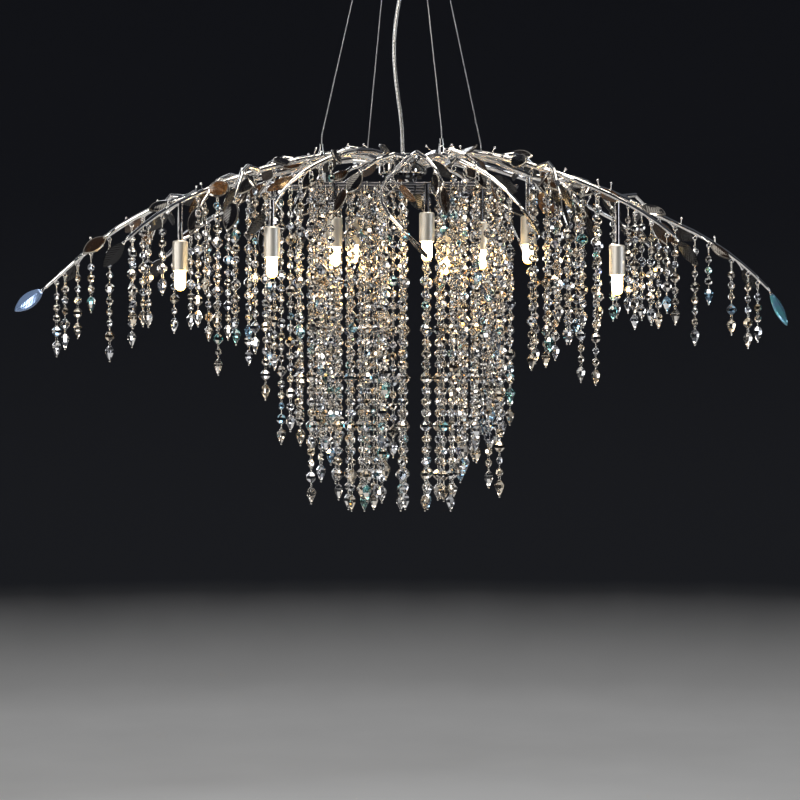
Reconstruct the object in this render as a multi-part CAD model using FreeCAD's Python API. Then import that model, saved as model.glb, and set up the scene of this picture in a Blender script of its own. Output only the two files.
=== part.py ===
import FreeCAD, Part
import math
import os

from FreeCAD import Vector

# Millimetres. The origin is the centre of the ceiling bracket's top face, +Z is up,
# X runs along the fitting and -Y is the front.

# Ceiling bracket
STRAP_LENGTH = 180.0
STRAP_WIDTH = 22.0
STRAP_THICK = 2.0
SLOT_SPACING = 70.0
SLOT_LENGTH = 15.0
SLOT_WIDTH = 5.0
STUD_SPACING = 160.0
STUD_R = 2.0
FIT_GAP = 0.1

# Canopy
CANOPY_R = 100.0
CANOPY_DEPTH = 33.0
CANOPY_WALL = 1.2
CANOPY_CORNER = 12.0
CEILING_GAP = 0.3
CAP_NUT_R = 4.5
CAP_NUT_HEIGHT = 8.0

# Seats between pieces that touch on the real fitting
SEAT = 0.3

# Terminal block
TERMINAL_SIZE = (30.0, 16.0, 13.0)

# Cable grippers, on one circle with the cable bosses of the arms
GRIPPER_CIRCLE_R = 69.0
CABLE_CIRCLE_R = 117.0
CABLE_TURN = 24.9
GRIPPER_R = 6.5
GRIPPER_HEIGHT = 12.0
GRIPPER_STEM_R = 4.9
GRIPPER_STEM_UP = 14.0
GRIPPER_BORE_R = 1.0
GRIPPER_CAVITY_R = 4.8
GRIPPER_CAVITY_DEPTH = 8.0
LOCK_NUT_FLATS_R = 7.5
LOCK_NUT_THICK = 4.0
SLEEVE_R = 4.5
SLEEVE_BORE_R = 1.6
SLEEVE_FLANGE_R = 5.6
SLEEVE_FLANGE_THICK = 3.0
SLEEVE_STICKS_OUT = 6.0
SLEEVE_TRAVEL = 2.0

# Suspension cables and power cord
CABLE_R = 0.75
CABLE_ABOVE_GRIPPER = 2.0
CABLE_STRAIGHT = 10.0
CORD_R = 2.5
CORD_BORE_GAP = 0.2
# The cord's route, from the terminal block down into the hub
CORD_POINTS = [
    (0, 0, -18), (0, 0, -52), (-8, 2, -88), (-12.5, 3, -135),
    (-9, 1, -182), (-2.5, -1, -226), (0, 0, -257), (0, 0, -290),
]

# Grommets
GROMMET_NECK_R = 4.8
GROMMET_FLANGE_R = 7.5
GROMMET_FLANGE_THICK = 2.5
GROMMET_HOLE_R = GROMMET_NECK_R + FIT_GAP

# Hub
HUB_R = 32.0
HUB_WALL = 1.5
HUB_TOP = -282.0
HUB_DEPTH = 23.0
HUB_LID_THICK = 1.2
HUB_LID_OVER = 1.5
HUB_BOSS_CIRCLE_R = 22.0
HUB_BOSS_R = 4.0
SCREW_R = 1.5
SCREW_HEAD_R = 2.9
SCREW_HEAD_HEIGHT = 2.0
SCREW_LENGTH = 8.0
SCREW_COUNT = 3

# Cable bosses and ferrules
BOSS_R = 4.0
BOSS_TOP = -280.0
FERRULE_R = 2.5
FERRULE_LENGTH = 9.0

# Arms: points on each centreline, root radius and tip radius
ARM_POINTS = {
    "left": [(-27, 0, -291), (-62, 4, -276), (-137, 6, -293), (-215, -2, -313), (-271, -8, -330),
             (-352, -4, -360), (-410, 2, -398), (-444, 4, -426), (-475, 2, -454)],
    "right": [(27, 0, -291), (62, -4, -279), (120, -6, -285), (160, -4, -303), (266, 6, -323),
              (323, 4, -350), (400, -2, -388), (446, -4, -420), (486, -2, -457)],
    "left_front": [(-25, -12, -291), (-64, -30, -281), (-106, -49, -286), (-170, -78, -303),
                   (-240, -104, -331), (-310, -125, -369), (-348, -134, -401)],
    "left_back": [(-24, 14, -291), (-70, 40, -279), (-150, 85, -297), (-230, 125, -329),
                  (-300, 150, -371), (-332, 157, -400)],
    "right_front": [(25, -12, -291), (70, -38, -280), (150, -80, -297), (230, -112, -328),
                    (300, -132, -366), (342, -140, -398)],
    "right_back": [(25, 11, -291), (64, 30, -281), (106, 49, -286), (175, 80, -303),
                   (250, 110, -332), (320, 132, -368), (358, 141, -400)],
    "front_left": [(-13, -24, -291), (-44, -66, -281), (-84, -106, -292), (-124, -140, -316),
                   (-154, -163, -348), (-166, -173, -370)],
    "front": [(6, -26, -291), (12, -58, -286), (0, -92, -301), (-20, -128, -326), (-27, -165, -354),
              (-16, -192, -378), (-1, -204, -396)],
    "front_right": [(19, -21, -291), (40, -62, -284), (49, -106, -290), (84, -138, -308),
                    (118, -161, -333), (144, -176, -362)],
    "back_left": [(-12, 25, -291), (-32, 66, -282), (-49, 106, -286), (-82, 140, -301),
                  (-112, 168, -327), (-134, 189, -358)],
    "back_right": [(12, 25, -291), (40, 66, -281), (78, 108, -291), (118, 144, -315),
                   (150, 170, -348), (162, 180, -370)],
}
ARM_GROUPS = {
    "arm_left": ["left"],
    "arm_right": ["right"],
    "arms_left_side": ["left_front", "left_back"],
    "arms_right_side": ["right_front", "right_back"],
    "arms_front": ["front_left", "front", "front_right"],
    "arms_back": ["back_left", "back_right"],
}
LONG_ARM_ROOT_R = 6.2
SIDE_ARM_ROOT_R = 5.4
SHORT_ARM_ROOT_R = 5.0
ARM_TIP_R = 2.2
ARM_SECTION_PITCH = 25.0
ARM_KNOT = 0.07
CABLE_ARMS = ["left_front", "right_back", "back_left", "front_right"]

# Side shoots: place along the arm (0 to 1), side (1 is left of the way out), turn away from
# the arm (degrees), length and how far the tip drops
SHOOTS = {
    "left": [(0.22, -1, 34, 95, 30), (0.38, 1, 32, 90, 38), (0.55, -1, 34, 80, 46)],
    "right": [(0.20, 1, 34, 95, 30), (0.36, -1, 32, 90, 38), (0.54, 1, 34, 80, 46)],
    "left_front": [(0.33, -1, 24, 66, 26), (0.48, 1, 32, 70, 42)],
    "left_back": [(0.22, -1, 34, 85, 34), (0.48, -1, 32, 70, 42)],
    "right_front": [(0.31, 1, 24, 66, 26), (0.46, -1, 32, 70, 42)],
    "right_back": [(0.20, 1, 34, 85, 34), (0.46, -1, 32, 70, 42)],
    "front_left": [(0.24, -1, 40, 75, 34)],
    "front": [(0.18, 1, 36, 66, 40), (0.22, -1, 46, 80, 34)],
    "front_right": [(0.34, 1, 38, 70, 34)],
    "back_left": [(0.24, 1, 40, 75, 34), (0.16, -1, 40, 70, 20)],
    "back_right": [(0.24, -1, 40, 75, 34)],
}
SHOOT_ROOT_R = 3.4
SHOOT_TIP_R = 2.1
SHOOT_SECTIONS = 5
SHOOT_CURL = 22.0
# Leaves on each shoot: place along it, side, turn, dip, twig length, share of the full leaf
SHOOT_LEAVES = [(0.42, 1, 44, 6, 5, 0.8), (0.68, -1, 44, 10, 5, 0.85), (1.0, 0, 0, 14, 1, 0.95)]

# Buds: pins with a ball, leaning out of the arms' tops
BUD_PITCH = 52.0
BUD_LENGTH = 11.0
BUD_PIN_R = 0.8
BUD_BALL_R = 1.9
BUD_LEAN = 50.0

# Eyelets under the arms, and the strands' rings
EYELET_R = 2.4
EYELET_WIRE_R = 0.8
EYELET_DROP = 4.5
RING_R = 4.2
RING_WIRE_R = 0.6

# Crystal strands
LINK_WIRE_R = 0.5
BEAD_R = 5.2
BEAD_CONE = 3.3
BEAD_BAND = 3.0
LARGE_BEAD_R = 6.6
LARGE_BEAD_CONE = 5.0
LARGE_BEAD_BAND = 5.0
LARGE_EVERY = 4
LINK_LENGTH = 5.0
DROP_R = 6.2
DROP_TOP = 5.0
DROP_BAND = 3.0
DROP_BOTTOM = 11.0
DROP_PIN = 3.0

# Strands on the arms: the arm, the axis its places are measured on, and (place, beads)
ARM_STRANDS = {
    "strands_left_outer": ("left", 0, [(-461, 4), (-450, 4), (-433, 4), (-415, 3), (-390, 8),
                                       (-360, 8), (-345, 7)]),
    "strands_left_inner": ("left", 0, [(-262, 6), (-245, 13), (-224, 10), (-205, 11), (-183, 16),
                                       (-162, 20)]),
    "strands_left_front": ("left_front", 0, [(-341, 5), (-322, 6), (-305, 4), (-261, 8), (-238, 9),
                                             (-214, 11), (-190, 12), (-166, 14)]),
    "strands_left_back": ("left_back", 0, [(-322, 5), (-298, 6), (-272, 8), (-244, 9), (-214, 12),
                                           (-184, 13)]),
    "strands_right_outer": ("right", 0, [(318, 7), (340, 7), (362, 6), (388, 7), (406, 3), (436, 4),
                                         (458, 4), (471, 3)]),
    "strands_right_inner": ("right", 0, [(190, 13), (208, 9), (222, 11), (237, 14), (257, 14),
                                         (280, 8), (300, 7)]),
    "strands_right_front": ("right_front", 0, [(165, 14), (187, 12), (209, 11), (229, 9), (248, 8),
                                               (293, 6), (313, 6), (332, 4)]),
    "strands_right_back": ("right_back", 0, [(182, 13), (210, 12), (240, 9), (270, 8), (298, 6),
                                             (324, 6), (346, 4)]),
    "strands_front_left": ("front_left", 0, [(-92, 22), (-104, 23), (-116, 24), (-129, 19),
                                             (-141, 17)]),
    "strands_front": ("front", 1, [(-114, 20), (-132, 21), (-150, 22), (-167, 17), (-184, 12)]),
    "strands_front_right": ("front_right", 0, [(64, 17), (78, 21), (93, 19), (107, 22), (120, 22),
                                               (133, 14)]),
    "strands_back_left": ("back_left", 0, [(-60, 20), (-74, 21), (-88, 20), (-102, 18), (-118, 14)]),
    "strands_back_right": ("back_right", 0, [(84, 20), (98, 21), (112, 19), (127, 16), (142, 12)]),
}

# Rack below the hub: straight rods along X, with the strands' rings round them
RACK_Z = -322.0
ROD_R = 2.0
ROD_PITCH = 36.0
LONG_ROD_HALF = 150.0
SHORT_ROD_HALF = 124.0
CROSS_ROD_X = (-16.0, 16.0)
RACK_PLATE_R = 27.0
RACK_PLATE_THICK = 2.5
ROW_STRANDS = {
    "strands_row_1": (-1.5, [(-112, 19), (-66, 23), (-47, 24), (-30, 22), (-2, 24), (53, 24),
                             (72, 22), (94, 20), (114, 18)]),
    "strands_row_2": (-0.5, [(-136, 18), (-119, 20), (-102, 20), (-85, 24), (-68, 25), (-51, 25),
                             (-34, 24), (-3, 25), (29, 25), (46, 24), (63, 25), (80, 22), (97, 21),
                             (114, 20), (131, 19)]),
    "strands_row_3": (0.5, [(-141, 18), (-124, 20), (-107, 20), (-90, 23), (-73, 25), (-56, 24),
                            (-39, 25), (3, 25), (33, 25), (50, 24), (67, 24), (83, 22), (126, 20),
                            (143, 18)]),
    "strands_row_4": (1.5, [(-110, 19), (-90, 20), (-46, 23), (-28, 22), (2, 24), (34, 24),
                            (78, 23), (96, 21), (114, 19)]),
}

# Lamps: stem place, height of the cup's top, and the arm that carries it (None: the rack)
LAMPS = [
    (-283.0, -117.0, -402.0, "left_front"),
    (-163.0, -170.5, -389.0, "front_left"),
    (-89.0, -54.0, -367.0, None),
    (-68.0, 54.0, -356.0, None),
    (31.0, -54.0, -360.0, None),
    (56.0, 54.0, -371.0, None),
    (105.0, 18.0, -366.0, None),
    (166.0, -4.0, -360.0, "right"),
    (271.0, -125.0, -408.0, "right_front"),
]
STEM_R = 3.2
STEM_NECK_R = 2.5
STEM_NECK_LENGTH = 6.0
CUP_R = 10.0
CUP_WALL = 1.0
CUP_HEIGHT = 38.0
CUP_TOP_THICK = 1.5
NUT_THICK = 3.0
NUT_R = 5.0
SOCKET_R = 8.4
SOCKET_HEIGHT = 20.0
SOCKET_BORE_R = 6.2
SOCKET_BORE_DEPTH = 12.0
BULB_BASE_R = 5.6
BULB_BASE_LENGTH = 11.0
BULB_R = 6.8
BULB_LENGTH = 38.0
BULB_TRAVEL = 16.0

# Leaves
LEAF_LENGTH = 42.0
LEAF_WIDTH = 21.0
# Degrees by which the leaves in turn lean over to their own side
LEAF_ROLLS = (38, 58, 28, 64, 46)
LEAF_RIM = 1.8
LEAF_RIDGE = 2.2
SEAT_CUP_R = 2.6
SEAT_CUP_LENGTH = 5.0
TWIG_R = 1.7
TWIG_TIP_R = 1.1
# Each arm's leaves: place along the arm (0 to 1), side (1 is left of the way out), turn away
# from the arm and dip below level (degrees), twig length, share of the full leaf length
LEAF_SPOTS = {
    "left": [(0.10, -1, 40, 0, 12, 1.0), (0.19, 1, 35, 8, 14, 1.0), (0.27, -1, 38, 4, 14, 1.1),
             (0.45, -1, 36, 18, 16, 1.0), (0.55, 1, 40, 20, 16, 0.9),
             (0.64, -1, 36, 26, 18, 0.9), (0.75, 1, 35, 36, 15, 0.9), (0.86, -1, 30, 44, 12, 0.8),
             (1.0, 0, 0, 38, 3, 1.05)],
    "right": [(0.09, 1, 40, 0, 12, 1.0), (0.18, -1, 38, 2, 14, 1.1), (0.27, 1, 40, 8, 14, 1.0),
              (0.36, -1, 35, 20, 16, 0.85), (0.46, 1, 42, 14, 14, 0.9), (0.56, -1, 36, 22, 18, 0.9),
              (0.66, 1, 38, 28, 16, 0.9), (0.77, -1, 32, 38, 14, 0.8), (0.88, 1, 34, 46, 12, 0.8),
              (1.0, 0, 0, 62, 3, 1.1)],
    "left_front": [(0.34, 1, 40, 8, 14, 0.9), (0.56, 1, 38, 24, 18, 1.0),
                   (0.78, -1, 40, 36, 16, 0.9), (1.0, 0, 0, 50, 4, 0.9)],
    "left_back": [(0.12, -1, 45, -8, 14, 1.0), (0.52, 1, 38, 20, 16, 0.9),
                  (0.76, 1, 36, 34, 16, 0.9), (1.0, 0, 0, 48, 4, 0.9)],
    "right_front": [(0.16, -1, 45, 2, 14, 1.0), (0.33, -1, 40, 12, 16, 1.0), (0.62, 1, 38, 22, 18, 0.9),
                    (0.86, 1, 36, 38, 14, 0.9), (1.0, 0, 0, 52, 4, 0.9)],
    "right_back": [(0.54, 1, 38, 22, 16, 0.9),
                   (0.78, -1, 36, 34, 16, 0.9), (1.0, 0, 0, 50, 4, 0.9)],
    "front_left": [(0.08, 1, 34, -6, 12, 0.9), (0.42, 1, 40, 12, 16, 1.0),
                   (0.66, -1, 40, 28, 14, 0.9), (1.0, 0, 0, 40, 4, 0.9)],
    "front": [(0.30, 1, 50, 12, 18, 0.9), (0.50, 1, 62, 30, 20, 0.9),
              (1.0, 0, 0, 46, 4, 0.95)],
    "front_right": [(0.46, -1, 40, 16, 16, 1.0),
                    (0.66, 1, 40, 30, 14, 0.9), (1.0, 0, 0, 54, 4, 0.95)],
    "back_left": [(0.46, -1, 40, 16, 16, 1.0),
                  (0.72, 1, 40, 30, 14, 0.9), (1.0, 0, 0, 54, 4, 0.9)],
    "back_right": [(0.07, 1, 36, -6, 12, 0.9), (0.46, 1, 40, 16, 16, 1.0),
                   (0.70, -1, 40, 30, 14, 0.9), (1.0, 0, 0, 54, 4, 0.9)],
}
LEAF_GROUPS = {
    "leaves_left": ["left", "left_front", "left_back"],
    "leaves_right": ["right", "right_front", "right_back"],
    "leaves_front": ["front_left", "front", "front_right"],
    "leaves_back": ["back_left", "back_right"],
}

UP = Vector(0, 0, 1)


# Writing the pieces

def save(node, solids):
    """Writes one node's solids as parts/NODE.step."""
    for solid in solids:
        if not solid.isValid() or len(solid.Solids) != 1:
            print("check", node, solid.isValid(), len(solid.Solids))
    shape = solids[0] if len(solids) == 1 else Part.makeCompound(solids)
    shape.exportStep("parts/" + node + ".step")


def rod(x, y, top, bottom, radius):
    """A vertical cylinder between two heights."""
    return Part.makeCylinder(radius, top - bottom, Vector(x, y, bottom))


def spun(outline):
    """A solid of revolution about Z from (radius, height) corners."""
    corners = [Vector(r, 0, z) for r, z in outline]
    wire = Part.makePolygon(corners + corners[:1])
    return Part.Face(wire).revolve(Vector(0, 0, 0), UP, 360)


def hexagon(x, y, top, bottom, across_corners_r):
    """A hexagonal prism between two heights."""
    corners = [Vector(x + across_corners_r * math.cos(math.radians(60 * i)),
                      y + across_corners_r * math.sin(math.radians(60 * i)), bottom)
               for i in range(7)]
    return Part.Face(Part.makePolygon(corners)).extrude(Vector(0, 0, top - bottom))


def cable_places(radius):
    """The four cable places on a circle: left front, right back, back left, front right."""
    turns = {"right_back": 0, "back_left": 90, "left_front": 180, "front_right": 270}
    return {name: (radius * math.cos(math.radians(CABLE_TURN + turn)),
                   radius * math.sin(math.radians(CABLE_TURN + turn)))
            for name, turn in turns.items()}


# Ceiling bracket

def ceiling_bracket():
    strap = Part.makeBox(STRAP_LENGTH, STRAP_WIDTH, STRAP_THICK,
                         Vector(-STRAP_LENGTH / 2, -STRAP_WIDTH / 2, -STRAP_THICK))
    for side in (-1, 1):
        x = side * SLOT_SPACING / 2
        half = (SLOT_LENGTH - SLOT_WIDTH) / 2
        slot = Part.makeBox(2 * half, SLOT_WIDTH, STRAP_THICK,
                            Vector(x - half, -SLOT_WIDTH / 2, -STRAP_THICK))
        ends = [rod(x + e * half, 0, 0, -STRAP_THICK, SLOT_WIDTH / 2) for e in (-1, 1)]
        strap = strap.cut(slot.multiFuse(ends))
    stud_bottom = -(CANOPY_DEPTH + CAP_NUT_HEIGHT * 0.6)
    studs = [rod(s * STUD_SPACING / 2, 0, -STRAP_THICK / 2, stud_bottom, STUD_R) for s in (-1, 1)]
    return strap.multiFuse(studs).removeSplitter()


def canopy():
    inner = CANOPY_R - CANOPY_WALL
    floor = -CANOPY_DEPTH
    shell = spun([(CANOPY_R, -CEILING_GAP), (CANOPY_R, floor + CANOPY_CORNER),
                  (CANOPY_R - 3.5, floor + 3.5), (CANOPY_R - CANOPY_CORNER, floor), (0, floor),
                  (0, floor + CANOPY_WALL), (inner - CANOPY_CORNER, floor + CANOPY_WALL),
                  (inner - 3.5, floor + 3.5 + CANOPY_WALL), (inner, floor + CANOPY_CORNER + CANOPY_WALL),
                  (inner, -CEILING_GAP)])
    top = floor + CANOPY_WALL
    holes = [rod(0, 0, top, floor, GROMMET_HOLE_R)]
    holes += [rod(s * STUD_SPACING / 2, 0, top, floor, STUD_R + FIT_GAP) for s in (-1, 1)]
    holes += [rod(x, y, top, floor, GRIPPER_STEM_R + FIT_GAP)
              for x, y in cable_places(GRIPPER_CIRCLE_R).values()]
    return shell.cut(Part.makeCompound(holes))


def cap_nut(x):
    top = -CANOPY_DEPTH - FIT_GAP
    nut = rod(x, 0, top, top - CAP_NUT_HEIGHT, CAP_NUT_R)
    nut = nut.makeFillet(2.0, [e for e in nut.Edges if abs(e.BoundBox.ZMax - (top - CAP_NUT_HEIGHT)) < 0.01])
    stud_room = rod(x, 0, top, top - CAP_NUT_HEIGHT * 0.7, STUD_R + FIT_GAP)
    return nut.cut(stud_room)


def terminal_block():
    length, width, height = TERMINAL_SIZE
    top = -STRAP_THICK - FIT_GAP
    block = Part.makeBox(length, width, height, Vector(-length / 2, -width / 2, top - height))
    for x in (-length / 3, 0, length / 3):
        way = Part.makeCylinder(1.8, 8, Vector(x, -width / 2, top - height / 2), Vector(0, 1, 0))
        block = block.cut(way)
    return block


# Cable grippers

def gripper_body(x, y):
    top = -CANOPY_DEPTH - FIT_GAP
    bottom = top - GRIPPER_HEIGHT
    body = rod(x, y, top, bottom, GRIPPER_R)
    stem = rod(x, y, -CANOPY_DEPTH + GRIPPER_STEM_UP, top - 1, GRIPPER_STEM_R)
    cavity = rod(x, y, bottom + GRIPPER_CAVITY_DEPTH, bottom, GRIPPER_CAVITY_R)
    bore = rod(x, y, 0, bottom, GRIPPER_BORE_R)
    return body.fuse(stem).cut(cavity).cut(bore).removeSplitter()


def gripper_nut(x, y):
    bottom = -CANOPY_DEPTH + CANOPY_WALL + FIT_GAP
    nut = hexagon(x, y, bottom + LOCK_NUT_THICK, bottom, LOCK_NUT_FLATS_R)
    return nut.cut(rod(x, y, 0, -CANOPY_DEPTH, GRIPPER_STEM_R + FIT_GAP))


def gripper_sleeve(x, y):
    body_bottom = -CANOPY_DEPTH - FIT_GAP - GRIPPER_HEIGHT
    top = body_bottom + GRIPPER_CAVITY_DEPTH - SLEEVE_TRAVEL - SEAT
    bottom = body_bottom - SLEEVE_STICKS_OUT
    tube = rod(x, y, top, bottom, SLEEVE_R)
    flange = rod(x, y, bottom + SLEEVE_FLANGE_THICK, bottom, SLEEVE_FLANGE_R)
    return tube.fuse(flange).cut(rod(x, y, top, bottom, SLEEVE_BORE_R)).removeSplitter()


# Cables and the power cord

def tube_along(points, radius, name):
    """A round tube along straight runs joined by tangent arcs."""
    corners = [Vector(*p) for p in points]
    edges = []
    start = corners[0]
    radii = []
    for before, corner, after in zip(corners, corners[1:], corners[2:]):
        back = before - corner
        ahead = after - corner
        reach = 0.45 * min(back.Length, ahead.Length)
        half_turn = (math.pi - back.getAngle(ahead)) / 2
        radii.append(reach / math.tan(half_turn))
        back.normalize()
        ahead.normalize()
        first = corner + back * reach
        last = corner + ahead * reach
        to_middle = back + ahead
        to_middle.normalize()
        sagitta = radii[-1] / math.cos(half_turn) - radii[-1]
        middle = corner + to_middle * sagitta
        edges.append(Part.LineSegment(start, first).toShape())
        edges.append(Part.Arc(first, middle, last).toShape())
        start = last
    edges.append(Part.LineSegment(start, corners[-1]).toShape())
    path = Part.Wire(edges)
    section = Part.Wire(Part.makeCircle(radius, corners[0], corners[1] - corners[0]))
    solid = path.makePipeShell([section], True, False)
    print(name, "length", round(path.Length, 1), "volume / section x length",
          round(solid.Volume / (math.pi * radius ** 2 * path.Length), 4),
          "bend radii", [round(r) for r in radii])
    return solid


def cable(name):
    """One suspension cable: out of its gripper, straight down to its ferrule."""
    top_x, top_y = cable_places(GRIPPER_CIRCLE_R)[name]
    low_x, low_y = cable_places(CABLE_CIRCLE_R)[name]
    sleeve_bottom = -CANOPY_DEPTH - FIT_GAP - GRIPPER_HEIGHT - SLEEVE_STICKS_OUT
    low = BOSS_TOP + SEAT + FERRULE_LENGTH + FIT_GAP
    points = [(top_x, top_y, -CANOPY_DEPTH + GRIPPER_STEM_UP + CABLE_ABOVE_GRIPPER),
              (top_x, top_y, sleeve_bottom - CABLE_STRAIGHT),
              (low_x, low_y, low + CABLE_STRAIGHT),
              (low_x, low_y, low)]
    return tube_along(points, CABLE_R, "cable " + name)


def ferrule(x, y):
    bottom = BOSS_TOP + SEAT
    body = rod(x, y, bottom + FERRULE_LENGTH, bottom, FERRULE_R)
    return body.fuse(rod(x, y, bottom + 3, bottom, FERRULE_R + 1)).removeSplitter()


def grommet(plate_top, plate_thick):
    """A bush through a plate, with a flange on each side."""
    bore = CORD_R + CORD_BORE_GAP
    under = plate_top - plate_thick - FIT_GAP
    over = plate_top + FIT_GAP
    return spun([(bore, over + GROMMET_FLANGE_THICK), (GROMMET_FLANGE_R - 1, over + GROMMET_FLANGE_THICK),
                 (GROMMET_FLANGE_R, over + 1), (GROMMET_FLANGE_R, over), (GROMMET_NECK_R, over),
                 (GROMMET_NECK_R, under), (GROMMET_FLANGE_R, under), (GROMMET_FLANGE_R, under - 1),
                 (GROMMET_FLANGE_R - 1, under - GROMMET_FLANGE_THICK),
                 (bore, under - GROMMET_FLANGE_THICK)])


# Hub

def boss_places():
    turns = [math.radians(45 + 360 / SCREW_COUNT * i) for i in range(SCREW_COUNT)]
    return [(HUB_BOSS_CIRCLE_R * math.cos(t), HUB_BOSS_CIRCLE_R * math.sin(t)) for t in turns]


def hub_cup():
    floor = HUB_TOP - HUB_DEPTH
    inner = HUB_R - HUB_WALL
    cup = spun([(HUB_R, HUB_TOP), (HUB_R, floor + 2), (HUB_R - 2, floor), (0, floor),
                (0, floor + HUB_WALL), (inner, floor + HUB_WALL), (inner, HUB_TOP)])
    bosses = [rod(x, y, HUB_TOP, floor + HUB_WALL / 2, HUB_BOSS_R) for x, y in boss_places()]
    taps = [rod(x, y, HUB_TOP, floor, SCREW_R + FIT_GAP) for x, y in boss_places()]
    return cup.multiFuse(bosses).cut(Part.makeCompound(taps)).removeSplitter()


def hub_lid():
    top = HUB_TOP + FIT_GAP + HUB_LID_THICK
    lid = rod(0, 0, top, HUB_TOP + FIT_GAP, HUB_R + HUB_LID_OVER)
    holes = [rod(x, y, top, HUB_TOP, SCREW_R + 2 * FIT_GAP) for x, y in boss_places()]
    holes.append(rod(0, 0, top, HUB_TOP, GROMMET_HOLE_R))
    return lid.cut(Part.makeCompound(holes))


def screw(x, y, seat, way):
    """A pan-head screw whose head sits at a height; way 1 points the head up."""
    head = Part.makeCylinder(SCREW_HEAD_R, SCREW_HEAD_HEIGHT, Vector(x, y, seat), Vector(0, 0, way))
    shank = Part.makeCylinder(SCREW_R, SCREW_LENGTH, Vector(x, y, seat), Vector(0, 0, -way))
    slot = Part.makeBox(2 * SCREW_HEAD_R, 0.8, 1.0, Vector(x - SCREW_HEAD_R, y - 0.4, -0.5))
    slot.translate(Vector(0, 0, seat + way * (SCREW_HEAD_HEIGHT - 0.5)))
    return head.fuse(shank).cut(slot).removeSplitter()


def hub_screws():
    lid_seat = HUB_TOP + 2 * FIT_GAP + HUB_LID_THICK
    rack_seat = HUB_TOP - HUB_DEPTH - SEAT - RACK_PLATE_THICK - FIT_GAP
    return ([screw(x, y, lid_seat, 1) for x, y in boss_places()]
            + [screw(x, y, rack_seat, -1) for x, y in boss_places()])


# Arms

def arm_curve(name):
    curve = Part.BSplineCurve()
    curve.interpolate([Vector(*p) for p in ARM_POINTS[name]])
    return curve


def at_share(curve, share):
    """The parameter at a share of the curve's length."""
    return curve.parameterAtDistance(share * curve.length(), curve.FirstParameter)


def at_place(curve, place, axis):
    """The parameter where the curve passes a place on one axis (0 is X, 1 is Y)."""
    low = at_share(curve, 0.15)
    high = curve.LastParameter
    rising = curve.value(high)[axis] > curve.value(low)[axis]
    for _ in range(40):
        middle = (low + high) / 2
        if (curve.value(middle)[axis] < place) == rising:
            low = middle
        else:
            high = middle
    return low


def outward(curve, parameter):
    way = Vector(curve.tangent(parameter)[0])
    way.normalize()
    return way


def level(way):
    flat = Vector(way.x, way.y, 0)
    flat.normalize()
    return flat


def root_radius(name):
    if name in ("left", "right"):
        return LONG_ARM_ROOT_R
    return SIDE_ARM_ROOT_R if name in ARM_GROUPS["arms_left_side"] + ARM_GROUPS["arms_right_side"] \
        else SHORT_ARM_ROOT_R


def arm_radius(name, share):
    return root_radius(name) + (ARM_TIP_R - root_radius(name)) * share ** 0.8


def tapered_tube(curve, sections, radius_at, knot):
    """A tapered round branch along a curve, with a slight knot at every second section."""
    rings = []
    for i in range(sections):
        share = i / (sections - 1)
        parameter = at_share(curve, share)
        way = outward(curve, parameter)
        side = way.cross(UP)
        side.normalize()
        swell = 1 + knot * (1 if i % 2 else -1)
        ring = Part.makeCircle(radius_at(share) * swell)
        turn = FreeCAD.Rotation(side, side.cross(way), way * -1, "ZXY")
        ring.Placement = FreeCAD.Placement(curve.value(parameter), turn)
        rings.append(Part.Wire(ring))
    return Part.makeLoft(rings, True, True)


def arm_tube(name, curve):
    sections = round(curve.length() / ARM_SECTION_PITCH) + 1
    return tapered_tube(curve, sections, lambda share: arm_radius(name, share), ARM_KNOT)


def shoot_curve(curve, spot):
    """The line of a side shoot: out to its side, then bending further round and down."""
    share, side, turn, length, drop = spot
    parameter = at_share(curve, share)
    start = curve.value(parameter)
    flat = level(outward(curve, parameter))
    near = FreeCAD.Rotation(UP, side * turn).multVec(flat)
    far = FreeCAD.Rotation(UP, side * (turn + SHOOT_CURL)).multVec(flat)
    bend = start + near * (0.35 * length)
    shoot = Part.BSplineCurve()
    shoot.interpolate([start, bend + UP * (0.03 * length), bend + far * (0.33 * length) - UP * (0.3 * drop),
                       bend + far * (0.65 * length) - UP * drop])
    return shoot


def shoot_tube(shoot):
    return tapered_tube(shoot, SHOOT_SECTIONS,
                        lambda share: SHOOT_ROOT_R + (SHOOT_TIP_R - SHOOT_ROOT_R) * share, 0)


def shoot_leaf_spots(shoot, side):
    """The leaves of a shoot, whose dip follows the slope of the shoot where they stand."""
    spots = []
    for share, leaf_side, turn, dip, twig_length, size in SHOOT_LEAVES:
        slope = math.degrees(math.asin(-outward(shoot, at_share(shoot, share)).z))
        spots.append((share, leaf_side * side, turn, dip + slope, twig_length, size))
    return spots


def eyelet_centre(name, curve, parameter):
    """The middle of the eyelet's hole, straight below the arm."""
    share = curve.length(curve.FirstParameter, parameter) / curve.length()
    return curve.value(parameter) - UP * (arm_radius(name, share) + EYELET_DROP)


def eyelet(name, curve, parameter):
    """A wire eyelet on a short neck, its hole across the arm."""
    centre = eyelet_centre(name, curve, parameter)
    across = level(outward(curve, parameter)).cross(UP)
    loop = Part.makeTorus(EYELET_R, EYELET_WIRE_R, centre, across)
    neck_top = curve.value(parameter).z
    neck_bottom = centre.z + EYELET_R
    neck = rod(centre.x, centre.y, neck_top, neck_bottom, EYELET_WIRE_R)
    return loop.fuse(neck)


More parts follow.
